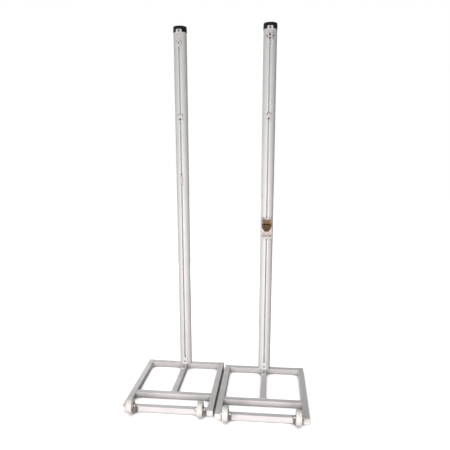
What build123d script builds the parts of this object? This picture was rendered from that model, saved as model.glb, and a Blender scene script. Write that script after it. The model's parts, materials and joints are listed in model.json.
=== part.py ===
from build123d import *
import os
from math import pi

# A pair of free-standing volleyball posts on wheeled base frames. Millimetres.
# +Z is up and -Y is the front, where the slots and fittings are. The origin is on the floor, at the
# centre of the pair's outline. Inside a post, x is counted from its centre line, y from the rear edge
# of its base and z from the floor. On a pole, depth is counted forward from the pole's axis.

os.makedirs("parts", exist_ok=True)

# --- Driving dimensions -------------------------------------------------------------------------

total_height = 2500
base_width = 600
base_depth = 700
gap_between_bases = 16
left_setback = 36

# Base frame, square steel tube
tube = 40
tube_wall = 2
tube_corner = 4
cap_flange = 3
mid_bar_y = -498
rear_bar_y = -cap_flange - tube / 2
front_bar_y = -base_depth + cap_flange + tube / 2
bar_face_y = front_bar_y - tube / 2

# Pole, round aluminium extrusion with a T-slot in its front
pole_radius = 45
pole_wall = 3
pole_inset = 15
flat_depth = 43.5
slot_opening = 9
slot_lip = 3
cavity_width = 19
cavity_depth = 7
channel_wall = 2.5
lip_back = flat_depth - slot_lip
slot_floor = lip_back - cavity_depth

# Top cap
cap_top_thickness = 5
cap_wall = 1.9
cap_skirt_bottom = 2462
cap_step_z = 2483
cap_step = 0.8
notch_width = 40
notch_top = 2478
pole_bottom = tube
pole_top = total_height - cap_top_thickness

# Heights of the fittings on the poles
guide_z = 2461
hook_z = 2390
pulley_z = 2410
slider_z = 1900
cleat_z = 1465
saddle_z = 1133
drum_z = 1158

# Wheels, in front of the front bar
wheel_x = 226
wheel_radius = 50
wheel_width = 38
axle_ahead = 50
axle_z = 77
axle_y = -base_depth - axle_ahead
axle_radius = 6
sleeve_radius = 8
fork_gap = 42
fork_sheet = 3

# Fits
turning_fit = 0.05
sliding_fit = 0.1

# Worm drive
gear_module = 1.5
wheel_teeth = 24
worm_pitch_radius = 6.5
thread_turns = 5      # odd, so that a crest of the thread stands under the worm wheel
drum_depth = 74

# --- Places of the two posts --------------------------------------------------------------------

post_x = (base_width + gap_between_bases) / 2
cap_radius = pole_radius + turning_fit + cap_wall
rear_overhang = cap_radius - pole_inset
front_reach = base_depth + axle_ahead + wheel_radius
right_rear = (front_reach - rear_overhang - left_setback) / 2
rear_edge = {"left": right_rear + left_setback, "right": right_rear}
centre_x = {"left": -post_x, "right": post_x}
outward = {"left": -1, "right": 1}


def level(side, z, x=0, y=0):
    """A horizontal plane facing up."""
    return Plane(origin=(centre_x[side] + x, rear_edge[side] + y, z))


def facing(side, y, x=0, z=0):
    """An upright plane facing the front: its own x is the post's x and its own y is height."""
    return Plane(origin=(centre_x[side] + x, rear_edge[side] + y, z), x_dir=(1, 0, 0), z_dir=(0, -1, 0))


def across(side, x=0, y=0, z=0):
    """An upright plane facing +X: its own x is the post's y and its own y is height."""
    return Plane(origin=(centre_x[side] + x, rear_edge[side] + y, z), x_dir=(0, 1, 0), z_dir=(1, 0, 0))


def on_pole(side, depth, x=0, z=0):
    """An upright plane facing the front, this far in front of the pole's axis."""
    return facing(side, -pole_inset - depth, x, z)


def beside_pole(side, x=0, depth=0, z=0):
    """An upright plane facing +X, with its centre this far in front of the pole's axis."""
    return across(side, x, -pole_inset - depth, z)


def x_axis(side, y, z):
    """A line along X at this y and z."""
    return Axis((centre_x[side], rear_edge[side] + y, z), (1, 0, 0))


def write(piece, name):
    """Labels a finished piece and writes it under its own name."""
    piece.part.label = name
    export_step(piece.part, f"parts/{name}.step")


# --- Base frame and its fittings ----------------------------------------------------------------

rail_x = (base_width - tube) / 2
strut_rear = rear_bar_y - tube / 2
strut_front = mid_bar_y + tube / 2
plug_bolt_x = 31
plug_bolt_y = -pole_inset - 3
plug_bolt_radius = 5
plug_access_radius = 12
strut_bolt_y = -118
m8_radius = 4
fork_screw_x = 28.3
fork_screw_z = (11, 29)
fork_screw_radius = 2.5


def lay_tubes(side, size, corner, overlap, mode):
    """Lays rails, cross bars and strut as square bars of this size, each run past its ends by overlap."""
    reach = base_width / 2 - tube + overlap
    with BuildSketch(facing(side, -cap_flange)) as rails:
        with Locations((-rail_x, tube / 2), (rail_x, tube / 2)):
            RectangleRounded(size, size, corner)
    extrude(rails.sketch, amount=base_depth - 2 * cap_flange, mode=mode)
    for bar_y in (rear_bar_y, mid_bar_y, front_bar_y):
        with BuildSketch(across(side, -reach, bar_y, tube / 2)) as bar:
            RectangleRounded(size, size, corner)
        extrude(bar.sketch, amount=2 * reach, mode=mode)
    with BuildSketch(facing(side, strut_rear + overlap)) as strut:
        with Locations((0, tube / 2)):
            RectangleRounded(size, size, corner)
    extrude(strut.sketch, amount=strut_rear - strut_front + 2 * overlap, mode=mode)


def make_base_frame(side):
    """Welded frame: two rails, three cross bars and a centre strut. Its bores run into each other."""
    with BuildPart() as frame:
        lay_tubes(side, tube, tube_corner, tube_corner, Mode.ADD)
        lay_tubes(side, tube - 2 * tube_wall, tube_corner - tube_wall, 2 * tube_wall, Mode.SUBTRACT)
        with BuildSketch(level(side, tube)):
            with Locations((-plug_bolt_x, plug_bolt_y), (plug_bolt_x, plug_bolt_y)):
                Circle(plug_bolt_radius)
            with Locations((0, strut_bolt_y)):
                Circle(m8_radius)
        extrude(amount=-2 * tube_wall, mode=Mode.SUBTRACT)
        with BuildSketch(level(side, 0)):
            with Locations((-plug_bolt_x, plug_bolt_y), (plug_bolt_x, plug_bolt_y)):
                Circle(plug_access_radius)
        extrude(amount=2 * tube_wall, mode=Mode.SUBTRACT)
        with BuildSketch(facing(side, bar_face_y)):
            for x in (-wheel_x, wheel_x):
                for z in fork_screw_z:
                    with Locations((x - fork_screw_x, z), (x + fork_screw_x, z)):
                        Circle(fork_screw_radius)
        extrude(amount=-2 * tube_wall, mode=Mode.SUBTRACT)
    write(frame, f"{side}_base_frame")


def make_rail_caps(side):
    """Four plastic plugs that close the open ends of the two rails."""
    plug = tube - 2 * tube_wall - 2 * sliding_fit
    plug_length = 14
    plug_wall = 2.5
    with BuildPart() as caps:
        for face_y, inward in ((-cap_flange, -1), (-base_depth + cap_flange, 1)):
            for x in (-rail_x, rail_x):
                with BuildSketch(facing(side, face_y, x, tube / 2)):
                    RectangleRounded(tube, tube, tube_corner)
                extrude(amount=inward * cap_flange)
                with BuildSketch(facing(side, face_y, x, tube / 2)):
                    RectangleRounded(plug, plug, tube_corner - tube_wall)
                    Rectangle(plug - 2 * plug_wall, plug - 2 * plug_wall, mode=Mode.SUBTRACT)
                extrude(amount=-inward * plug_length)
        outer = caps.faces().filter_by(Axis.Y).sort_by(Axis.Y)
        chamfer(outer[0:2].edges() + outer[-2:].edges(), length=0.8)
    write(caps, f"{side}_rail_caps")


# --- Pole, its foot and its cap -----------------------------------------------------------------

channel_width = cavity_width + 2 * channel_wall
channel_floor = slot_floor - channel_wall


def make_pole(side):
    """Round hollow extrusion with a flat on its front and a T-slot channel behind the flat."""
    with BuildPart() as pole:
        with BuildSketch(level(side, pole_bottom, 0, -pole_inset)):
            Circle(pole_radius)
            with Locations((0, -flat_depth)):
                Rectangle(2 * pole_radius, pole_radius, align=(Align.CENTER, Align.MAX), mode=Mode.SUBTRACT)
            Circle(pole_radius - pole_wall, mode=Mode.SUBTRACT)
            with Locations((0, -pole_radius + pole_wall)):
                Rectangle(
                    channel_width, pole_radius - pole_wall - channel_floor, align=(Align.CENTER, Align.MIN)
                )
            with Locations((0, -lip_back)):
                Rectangle(cavity_width, cavity_depth, align=(Align.CENTER, Align.MIN), mode=Mode.SUBTRACT)
            with Locations((0, -pole_radius)):
                Rectangle(
                    slot_opening, pole_radius - lip_back, align=(Align.CENTER, Align.MIN), mode=Mode.SUBTRACT
                )
        extrude(amount=pole_top - pole_bottom)
        chamfer(pole.edges().filter_by(GeomType.LINE).filter_by(Axis.Z).group_by(Axis.Y)[0], length=0.6)
    write(pole, f"{side}_pole")


plug_height = 120
plug_core_radius = 22
tight_gap = 0.2


def make_foot_plug(side):
    """Cast plug standing on the rear bar inside the pole, with two tapped holes in its underside."""
    with BuildPart() as plug:
        with BuildSketch(level(side, pole_bottom, 0, -pole_inset)):
            Circle(pole_radius - pole_wall - tight_gap)
            with Locations((0, -channel_floor + tight_gap)):
                Rectangle(
                    channel_width + 2 * tight_gap, pole_radius, align=(Align.CENTER, Align.MAX),
                    mode=Mode.SUBTRACT,
                )
            Circle(plug_core_radius, mode=Mode.SUBTRACT)
            with Locations((-plug_bolt_x, plug_bolt_y + pole_inset), (plug_bolt_x, plug_bolt_y + pole_inset)):
                Circle(plug_bolt_radius, mode=Mode.SUBTRACT)
        extrude(amount=plug_height)
        chamfer(plug.faces().sort_by(Axis.Z)[-1].outer_wire().edges(), length=2)
    write(plug, f"{side}_foot_plug")


def add_bolt(plane, radius, length, across_flats, head):
    """A hex bolt: its head stands on the plane and its shank runs back behind the plane."""
    with BuildSketch(plane) as hexagon:
        RegularPolygon(across_flats / 2, 6, major_radius=False)
    extrude(hexagon.sketch, amount=head)
    with BuildSketch(plane) as shank:
        Circle(radius)
    extrude(shank.sketch, amount=-length)


plug_bolt_flats = 17
plug_bolt_head = 7
plug_bolt_length = 36


def make_plug_bolts(side):
    """Two bolts from inside the rear bar up into the foot plug."""
    with BuildPart() as bolts:
        for x in (-plug_bolt_x, plug_bolt_x):
            underside = level(side, tube - tube_wall, x, plug_bolt_y)
            down = Plane(origin=underside.origin, x_dir=(1, 0, 0), z_dir=(0, 0, -1))
            add_bolt(down, plug_bolt_radius - turning_fit, plug_bolt_length, plug_bolt_flats, plug_bolt_head)
    write(bolts, f"{side}_plug_bolts")


bracket_width = 38
bracket_sheet = 5
bracket_top = 100
bracket_front_y = -142
bracket_bolt_z = 66
bracket_bend = 12
bracket_top_round = 12
bracket_foot_round = 9
m8_flats = 13
m8_head = 5.5
strut_bolt_length = 20


def make_foot_bracket(side):
    """L-shaped bracket: its upright leg is on the pole's flat and its foot on the centre strut."""
    back = -pole_inset - flat_depth
    with BuildPart() as bracket:
        with BuildSketch(across(side, -bracket_width / 2)):
            with BuildLine():
                Polyline(
                    (back, tube),
                    (back, bracket_top),
                    (back - bracket_sheet, bracket_top),
                    (back - bracket_sheet, tube + bracket_sheet),
                    (bracket_front_y, tube + bracket_sheet),
                    (bracket_front_y, tube),
                    close=True,
                )
            make_face()
        extrude(amount=bracket_width)
        corner = bracket.edges().filter_by(Axis.X).sort_by_distance(
            (centre_x[side], rear_edge[side] + back - bracket_sheet, tube + bracket_sheet)
        )[0]
        fillet(corner, radius=bracket_bend)
        fillet(bracket.edges().filter_by(Axis.Y).group_by(Axis.Z)[-1], radius=bracket_top_round)
        fillet(bracket.edges().filter_by(Axis.Z).group_by(Axis.Y)[0], radius=bracket_foot_round)
        with BuildSketch(on_pole(side, flat_depth, 0, bracket_bolt_z)):
            Circle(m8_radius)
        extrude(amount=2 * bracket_sheet, mode=Mode.SUBTRACT)
        with BuildSketch(level(side, tube, 0, strut_bolt_y)):
            Circle(m8_radius)
        extrude(amount=2 * bracket_sheet, mode=Mode.SUBTRACT)
    write(bracket, f"{side}_foot_bracket")


nut_gap = 0.75
nut_thickness = 6
foot_nut_length = 26


def add_t_nut(side, z, length, hole_radius):
    """A flat nut inside the slot, pulled against the back of the slot's lips."""
    with BuildSketch(on_pole(side, lip_back, 0, z)) as plate:
        Rectangle(cavity_width - 2 * nut_gap, length)
        Circle(hole_radius, mode=Mode.SUBTRACT)
    extrude(plate.sketch, amount=-nut_thickness)


def make_foot_fasteners(side):
    """The bracket's two hex bolts, and the nut in the slot that holds the upper one."""
    shank = m8_radius - turning_fit
    upper_length = bracket_sheet + flat_depth - slot_floor - 0.5
    with BuildPart() as bolts:
        upright = on_pole(side, flat_depth + bracket_sheet, 0, bracket_bolt_z)
        add_bolt(upright, shank, upper_length, m8_flats, m8_head)
        flat = level(side, tube + bracket_sheet, 0, strut_bolt_y)
        add_bolt(flat, shank, strut_bolt_length, m8_flats, m8_head)
    write(bolts, f"{side}_foot_bolts")
    with BuildPart() as nut:
        add_t_nut(side, bracket_bolt_z, foot_nut_length, m8_radius)
    write(nut, f"{side}_foot_t_nut")


def make_top_cap(side):
    """Plastic cap over the pole's end, with a notch in its skirt for the cord guide."""
    bore = pole_radius + turning_fit
    with BuildPart() as cap:
        with BuildSketch(level(side, cap_skirt_bottom, 0, -pole_inset)):
            Circle(cap_radius)
        extrude(amount=cap_step_z - cap_skirt_bottom)
        with BuildSketch(level(side, cap_step_z, 0, -pole_inset)):
            Circle(cap_radius - cap_step)
        extrude(amount=total_height - cap_step_z)
        chamfer(cap.faces().sort_by(Axis.Z)[-1].edges(), length=2)
        with BuildSketch(level(side, cap_skirt_bottom, 0, -pole_inset)):
            Circle(bore)
        extrude(amount=pole_top - cap_skirt_bottom, mode=Mode.SUBTRACT)
        with BuildSketch(on_pole(side, pole_radius / 2)):
            with Locations((0, cap_skirt_bottom)):
                Rectangle(notch_width, notch_top - cap_skirt_bottom, align=(Align.CENTER, Align.MIN))
        extrude(amount=pole_radius, mode=Mode.SUBTRACT)
    write(cap, f"{side}_top_cap")


# --- Fittings that clamp in the slot ------------------------------------------------------------

foot_neck = slot_opening - 4 * sliding_fit
foot_head_width = cavity_width - 0.8
foot_head_front = lip_back - sliding_fit
foot_head_back = slot_floor + 1.2
fitting_back = flat_depth + sliding_fit / 2
clamp_radius = 3
clamp_tip = slot_floor + 0.2
socket_flats = 4


def add_t_foot(side, bottom, top):
    """The neck and head cast on the back of a fitting, which run in the slot between two heights."""
    middle = (bottom + top) / 2
    with BuildSketch(on_pole(side, foot_head_front - 1, 0, middle)) as neck:
        Rectangle(foot_neck, top - bottom)
    extrude(neck.sketch, amount=fitting_back - foot_head_front + 2)
    with BuildSketch(on_pole(side, foot_head_back, 0, middle)) as head:
        Rectangle(foot_head_width, top - bottom)
    extrude(head.sketch, amount=foot_head_front - foot_head_back)


def cut_clamp_hole(side, z, radius, front):
    """A hole from the front of a fitting through its foot to the floor of the slot."""
    with BuildSketch(on_pole(side, foot_head_back - 1, 0, z)) as hole:
        Circle(radius)
    extrude(hole.sketch, amount=front - foot_head_back + 2, mode=Mode.SUBTRACT)


def add_socket_screw(side, z, front, head_radius, head):
    """A round-headed screw with a hex socket: its head stands on the front face of a fitting."""
    with BuildSketch(on_pole(side, clamp_tip, 0, z)) as shank:
        Circle(clamp_radius - turning_fit)
    extrude(shank.sketch, amount=front - clamp_tip)
    with BuildSketch(on_pole(side, front, 0, z)) as button:
        Circle(head_radius)
    extrude(button.sketch, amount=head)
    with BuildSketch(on_pole(side, front + head, 0, z)) as socket:
        RegularPolygon(socket_flats / 2, 6, major_radius=False)
    extrude(socket.sketch, amount=-0.7 * head, mode=Mode.SUBTRACT)


guide_width = 38
guide_sheet = 3
guide_height = 34
guide_lip_length = 22
guide_lip_height = 6
guide_lip_drop = 13
guide_lip_reach = 4
guide_screw_z = guide_z + 6
guide_screw_head = (6.5, 4.5)


def make_cord_guide(side):
    """Plate in the cap's notch with a half-round lip that the net's top cord runs over."""
    front = fitting_back + guide_sheet
    with BuildPart() as guide:
        with BuildSketch(on_pole(side, fitting_back, 0, guide_z)):
            RectangleRounded(guide_width, guide_height, 4)
        extrude(amount=guide_sheet)
        with BuildSketch(on_pole(side, fitting_back, 0, guide_z - guide_lip_drop)):
            SlotOverall(guide_lip_length, guide_lip_height)
        extrude(amount=guide_sheet + guide_lip_reach)
        fillet(guide.faces().sort_by(Axis.Y)[0].edges(), radius=1.5)
        add_t_foot(side, guide_z - guide_height / 2, guide_z + guide_height / 2)
        cut_clamp_hole(side, guide_screw_z, clamp_radius, front)
    write(guide, f"{side}_cord_guide")
    with BuildPart() as screw:
        add_socket_screw(side, guide_screw_z, front, *guide_screw_head)
        fillet(screw.faces().sort_by(Axis.Y)[0].outer_wire().edges(), radius=1.5)
    write(screw, f"{side}_guide_screw")


slider_width = 30
slider_height = 46
slider_front = fitting_back + 9
prong_radius = 3.2
prong_spread = 14
prong_reach = 12
prong_rise = 13
prong_root_z = slider_z + 4
knob_drop = 12
knob_radius = 7
knob_length = 9
knob_flutes = 8
flute_radius = 1.7
knob_gap = 1


def make_net_slider(side):
    """Small sliding fitting with two prongs for the net's side cord, clamped by a hand knob."""
    with BuildPart() as slider:
        with BuildSketch(on_pole(side, fitting_back, 0, slider_z)):
            RectangleRounded(slider_width, slider_height, 6)
        extrude(amount=slider_front - fitting_back)
        fillet(slider.faces().sort_by(Axis.Y)[0].edges(), radius=2.5)
        root = (centre_x[side], rear_edge[side] - pole_inset - slider_front + 3, prong_root_z)
        for lean in (-1, 1):
            tip = (root[0] + lean * prong_spread, root[1] - prong_reach, root[2] + prong_rise)
            with BuildLine() as rod:
                Line(root, tip)
            with BuildSketch(Plane(origin=root, z_dir=rod.line % 0)):
                Circle(prong_radius)
            sweep(path=rod.line)
            with Locations(tip):
                Sphere(prong_radius * 1.25)
        add_t_foot(side, slider_z - slider_height / 2, slider_z + slider_height / 2)
        cut_clamp_hole(side, slider_z - knob_drop, m8_radius, slider_front)
    write(slider, f"{side}_net_slider")
    with BuildPart() as knob:
        with BuildSketch(on_pole(side, clamp_tip, 0, slider_z - knob_drop)):
            Circle(m8_radius - turning_fit)
        extrude(amount=slider_front + knob_gap - clamp_tip)
        with BuildSketch(on_pole(side, slider_front + knob_gap, 0, slider_z - knob_drop)):
            Circle(knob_radius)
            with PolarLocations(knob_radius + flute_radius / 2, knob_flutes):
                Circle(flute_radius, mode=Mode.SUBTRACT)
        extrude(amount=knob_length)
        chamfer(knob.faces().sort_by(Axis.Y)[0].edges(), length=0.8)
        with BuildSketch(on_pole(side, slider_front + knob_gap + knob_length, 0, slider_z - knob_drop)):
            Circle(knob_radius / 2.5)
        extrude(amount=-knob_length / 2, mode=Mode.SUBTRACT)
    write(knob, f"{side}_slider_knob")


# --- Wheels and their forks ---------------------------------------------------------------------

hub_radius = 15
hub_half = fork_gap / 2 - 1
web_half = 5
rim_inner = 37
tread_round = 7


def make_wheel(side, place, x):
    """Solid nylon wheel with a crowned tread, thin web and long hub."""
    with BuildPart() as wheel:
        with BuildSketch(level(side, axle_z, x, axle_y)):
            with BuildLine():
                Polyline(
                    (-hub_half, sleeve_radius + turning_fit),
                    (-hub_half, hub_radius),
                    (-web_half, hub_radius + 2),
                    (-web_half, rim_inner - 2),
                    (-wheel_width / 2, rim_inner),
                    (-wheel_width / 2, wheel_radius - tread_round),
                )
                ThreePointArc(
                    (-wheel_width / 2, wheel_radius - tread_round),
                    (-wheel_width / 2 + 0.3 * tread_round, wheel_radius - 0.4 * tread_round),
                    (-wheel_width / 2 + tread_round, wheel_radius - 1),
                )
                ThreePointArc(
                    (-wheel_width / 2 + tread_round, wheel_radius - 1),
                    (0, wheel_radius),
                    (wheel_width / 2 - tread_round, wheel_radius - 1),
                )
                ThreePointArc(
                    (wheel_width / 2 - tread_round, wheel_radius - 1),
                    (wheel_width / 2 - 0.3 * tread_round, wheel_radius - 0.4 * tread_round),
                    (wheel_width / 2, wheel_radius - tread_round),
                )
                Polyline(
                    (wheel_width / 2, wheel_radius - tread_round),
                    (wheel_width / 2, rim_inner),
                    (web_half, rim_inner - 2),
                    (web_half, hub_radius + 2),
                    (hub_half, hub_radius),
                    (hub_half, sleeve_radius + turning_fit),
                    (-hub_half, sleeve_radius + turning_fit),
                )
            make_face()
        revolve(axis=x_axis(side, axle_y, axle_z))
    write(wheel, f"{side}_{place}_wheel")


axle_flats = 19
axle_head = 7.5
axle_nut = 10
thread_end = 8
fork_width = 66
fork_height = 36
fork_eye_radius = 13
fork_screw_flats = 7
fork_screw_head = 3.2
fork_screw_length = 12


def make_wheel_mounts(side):
    """The two forks on the front bar, their screws, and each wheel's sleeve, axle bolt and nut."""
    leg_outer = fork_gap / 2 + fork_sheet
    with BuildPart() as forks:
        for x in (-wheel_x, wheel_x):
            with BuildSketch(facing(side, bar_face_y, x, tube / 2)):
                RectangleRounded(fork_width, fork_height, 3)
                for z in fork_screw_z:
                    with Locations((-fork_screw_x, z - tube / 2), (fork_screw_x, z - tube / 2)):
                        Circle(fork_screw_radius, mode=Mode.SUBTRACT)
            extrude(amount=fork_sheet)
            for leg_x in (x - leg_outer, x + fork_gap / 2):
                with BuildSketch(across(side, leg_x)):
                    with Locations((axle_y, axle_z)):
                        Circle(fork_eye_radius)
                    with Locations((bar_face_y - 1, tube / 2)):
                        Rectangle(2, fork_height)
                    make_hull()
                    with Locations((axle_y, axle_z)):
                        Circle(axle_radius + tight_gap, mode=Mode.SUBTRACT)
                extrude(amount=fork_sheet)
    write(forks, f"{side}_wheel_forks")

    with BuildPart() as screws:
        for x in (-wheel_x, wheel_x):
            for z in fork_screw_z:
                for dx in (-fork_screw_x, fork_screw_x):
                    seat = facing(side, bar_face_y - fork_sheet, x + dx, z)
                    shank = fork_screw_radius - turning_fit
                    add_bolt(seat, shank, fork_screw_length, fork_screw_flats, fork_screw_head)
    write(screws, f"{side}_fork_screws")

    with BuildPart() as sleeves:
        for x in (-wheel_x, wheel_x):
            with BuildSketch(across(side, x - fork_gap / 2, axle_y, axle_z)):
                Circle(sleeve_radius)
                Circle(axle_radius + turning_fit, mode=Mode.SUBTRACT)
            extrude(amount=fork_gap)
    write(sleeves, f"{side}_wheel_sleeves")

    with BuildPart() as bolts:
        for x in (-wheel_x, wheel_x):
            away = 1 if x > 0 else -1
            origin = across(side, x + away * leg_outer, axle_y, axle_z).origin
            outer_face = Plane(origin=origin, x_dir=(0, 1, 0), z_dir=(away, 0, 0))
            shank = 2 * leg_outer + axle_nut + thread_end
            add_bolt(outer_face, axle_radius, shank, axle_flats, axle_head)
    write(bolts, f"{side}_axle_bolts")

    with BuildPart() as nuts:
        for x in (-wheel_x, wheel_x):
            away = 1 if x > 0 else -1
            origin = across(side, x - away * leg_outer, axle_y, axle_z).origin
            with BuildSketch(Plane(origin=origin, x_dir=(0, 1, 0), z_dir=(-away, 0, 0))):
                RegularPolygon(axle_flats / 2, 6, major_radius=False)
                Circle(axle_radius + turning_fit, mode=Mode.SUBTRACT)
            extrude(amount=axle_nut)
    write(nuts, f"{side}_axle_nuts")


# --- Left post only: top hook and rope cleat ----------------------------------------------------

hook_front = fitting_back + 7
hook_sheet = 6
hook_eye = (-13, 11)
hook_lobe = (4, -3)
eye_radius = 11
eye_hole_radius = 5.5
lobe_radius = 12
hook_block = (28, 76)
hook_block_z = hook_z + 15
finger_outer = ((10, 4), (4, 26), (-8, 42))
finger_inner = ((-12, 38), (-3, 24), (-1, 6))
finger_extra = 3
hook_screw_head = (5, 3.5)


def make_top_hook():
    """Cast hook for the net's top cord: a base block, an eye to one side and a curved finger."""
    side = "left"
    with BuildPart() as hook:
        with BuildSketch(on_pole(side, fitting_back, 0, hook_block_z)):
            RectangleRounded(*hook_block, 6)
        extrude(amount=hook_front - fitting_back)
        with BuildSketch(on_pole(side, hook_front - 1, 0, hook_z)):
            with Locations(hook_eye):
                Circle(eye_radius)
            with Locations(hook_lobe):
                Circle(lobe_radius)
            make_hull()
        extrude(amount=hook_sheet + 1)
        with BuildSketch(on_pole(side, hook_front, 0, hook_z)):
            with BuildLine():
                ThreePointArc(*finger_outer)
                Line(finger_outer[-1], finger_inner[0])
                ThreePointArc(*finger_inner)
                Line(finger_inner[-1], finger_outer[0])
            make_face()
        extrude(amount=hook_sheet + finger_extra)
        fillet(hook.faces().sort_by(Axis.Y)[0].edges(), radius=1.2)
        with BuildSketch(on_pole(side, hook_front - 2, 0, hook_z)):
            with Locations(hook_eye):
                Circle(eye_hole_radius)
        extrude(amount=3 * hook_sheet, mode=Mode.SUBTRACT)
        add_t_foot(side, hook_block_z - hook_block[1] / 2, hook_block_z + hook_block[1] / 2)
        cut_clamp_hole(side, hook_z + hook_lobe[1], clamp_radius, hook_front + hook_sheet)
    write(hook, "left_top_hook")
    with BuildPart() as screw:
        add_socket_screw(side, hook_z + hook_lobe[1], hook_front + hook_sheet, *hook_screw_head)
    write(screw, "left_hook_screw")


cleat_screw_z = 26
cleat_base = 5
cleat_width = 18
cleat_height = 70
cleat_screw_head = (5, 3.5)
slot_nut_length = 16
horn_radius = 4
horn_rise = 18
horn_reach = 40
horn_stem_z = 13
horn_stem_radius = 3.6
horn_ball_radius = 5
horn_middle = fitting_back + horn_rise
horn_tip = horn_middle + 6


def make_rope_cleat():
    """Horn cleat for the lower cord, upright on the pole, with its two screws and their nuts."""
    side = "left"
    back = fitting_back
    with BuildPart() as cleat:
        with BuildSketch(on_pole(side, back, 0, cleat_z)):
            RectangleRounded(cleat_width, cleat_height, 8)
        extrude(amount=cleat_base)
        for z in (-horn_stem_z, horn_stem_z):
            with BuildSketch(on_pole(side, back + 2, 0, cleat_z + z)):
                Circle(horn_stem_radius)
            extrude(amount=horn_rise)
        with BuildLine(beside_pole(side, 0, 0, cleat_z)) as horn:
            ThreePointArc((-horn_tip, -horn_reach), (-horn_middle, 0), (-horn_tip, horn_reach))
        with BuildSketch(Plane(origin=horn.line @ 0, z_dir=horn.line % 0)):
            Circle(horn_radius)
        sweep(path=horn.line)
        with Locations(horn.line @ 0, horn.line @ 1):
            Sphere(horn_ball_radius)
        for z in (-cleat_screw_z, cleat_screw_z):
            with BuildSketch(on_pole(side, flat_depth - 1, 0, cleat_z + z)):
                Circle(clamp_radius)
            extrude(amount=cleat_base + 2, mode=Mode.SUBTRACT)
    write(cleat, "left_rope_cleat")
    with BuildPart() as screws:
        for z in (-cleat_screw_z, cleat_screw_z):
            add_socket_screw(side, cleat_z + z, back + cleat_base, *cleat_screw_head)
    write(screws, "left_cleat_screws")
    with BuildPart() as nuts:
        for z in (-cleat_screw_z, cleat_screw_z):
            add_slot_nut(side, cleat_z + z)
    write(nuts, "left_cleat_t_nuts")


def add_slot_nut(side, z):
    """A short nut that slides in the slot behind a fitting."""
    with BuildSketch(on_pole(side, foot_head_front, 0, z)) as plate:
        Rectangle(foot_head_width, slot_nut_length)
        Circle(clamp_radius, mode=Mode.SUBTRACT)
    extrude(plate.sketch, amount=foot_head_back - foot_head_front)


# --- Right post only: top pulley ----------------------------------------------------------------

pulley_width = 40
pulley_body_half = 17
pulley_top = 2443
pulley_bottom = 2376
pulley_front = fitting_back + 21
pulley_plate = 6
pulley_screw_z = pulley_bottom + 8
pulley_screw_head = (4.5, 3)
window_width = 15
window_height = 36
window_wall = 3
sheave_radius = 7.5
sheave_groove = 4.8
sheave_half = 6.5
sheave_depth = fitting_back + 12.5
pin_radius = 3
pin_reach = 25


def make_pulley():
    """Block in the slot with a small grooved sheave on a cross pin, and its clamp screw."""
    side = "right"
    middle = (pulley_top + pulley_bottom) / 2
    with BuildPart() as block:
        with BuildSketch(on_pole(side, fitting_back, 0, middle)):
            RectangleRounded(pulley_width, pulley_top - pulley_bottom, 7)
        extrude(amount=pulley_plate)
        with BuildSketch(on_pole(side, fitting_back, 0, pulley_z)):
            RectangleRounded(2 * pulley_body_half, window_height + 2 * window_wall, 6)
        extrude(amount=pulley_front - fitting_back)
        fillet(block.faces().sort_by(Axis.Y)[0].edges(), radius=3)
        add_t_foot(side, pulley_bottom, pulley_top)
        with BuildSketch(on_pole(side, foot_head_back - 1, 0, pulley_z)):
            RectangleRounded(window_width, window_height, 4)
        extrude(amount=pulley_front, mode=Mode.SUBTRACT)
        with BuildSketch(beside_pole(side, -pulley_width, sheave_depth, pulley_z)):
            Circle(pin_radius)
        extrude(amount=2 * pulley_width, mode=Mode.SUBTRACT)
        cut_clamp_hole(side, pulley_screw_z, clamp_radius, pulley_front)
    write(block, "right_pulley_block")

    axis = x_axis(side, -pole_inset - sheave_depth, pulley_z)
    with BuildPart() as sheave:
        with BuildSketch(level(side, pulley_z, 0, -pole_inset - sheave_depth)):
            with BuildLine():
                Polyline(
                    (-sheave_half, sheave_radius - 1.5),
                    (-sheave_half, pin_radius + turning_fit),
                    (sheave_half, pin_radius + turning_fit),
                    (sheave_half, sheave_radius - 1.5),
                    (sheave_half - 1, sheave_radius),
                )
                ThreePointArc(
                    (sheave_half - 1, sheave_radius), (0, sheave_groove), (-sheave_half + 1, sheave_radius)
                )
                Line((-sheave_half + 1, sheave_radius), (-sheave_half, sheave_radius - 1.5))
            make_face()
        revolve(axis=axis)
    write(sheave, "right_pulley_sheave")

    with BuildPart() as pin:
        with BuildSketch(beside_pole(side, -pulley_body_half, sheave_depth, pulley_z)):
            Circle(pin_radius)
        extrude(amount=2 * pulley_body_half)
        for x, way in ((-pulley_body_half, -1), (pulley_body_half, 1)):
            with BuildSketch(beside_pole(side, x, sheave_depth, pulley_z)):
                Circle(2 * pin_radius)
            extrude(amount=way * (pin_reach - pulley_body_half))
        chamfer(pin.faces().filter_by(Axis.X).sort_by(Axis.X)[0].edges(), length=1)
        chamfer(pin.faces().filter_by(Axis.X).sort_by(Axis.X)[-1].edges(), length=1)
    write(pin, "right_sheave_pin")

    with BuildPart() as screw:
        add_socket_screw(side, pulley_screw_z, fitting_back + pulley_plate, *pulley_screw_head)
    write(screw, "right_pulley_screw")


# --- Right post only: worm-drive net tensioner --------------------------------------------------

saddle_half = 39
saddle_sheet = 3
saddle_back = fitting_back
saddle_front = saddle_back + saddle_sheet
flange_rear = 27.3
saddle_height = 150
saddle_flange_height = 134
saddle_screw_z = (saddle_z - 67, saddle_z + 68)
saddle_screw_head = (5.5, 3.5)
ledge_z = saddle_z - 51
ledge_reach = 6
ledge_height = 4
groove_z = saddle_z - 56
groove_height = 4.5
pad_bottom = saddle_z - 43
pad_top = saddle_z - 18
pad_bottom_half = 28
pad_top_half = 17
pad_rise = 2.5
pad_hole_x = 18
pad_hole_z = saddle_z - 34
pad_hole_radius = 2


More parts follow.
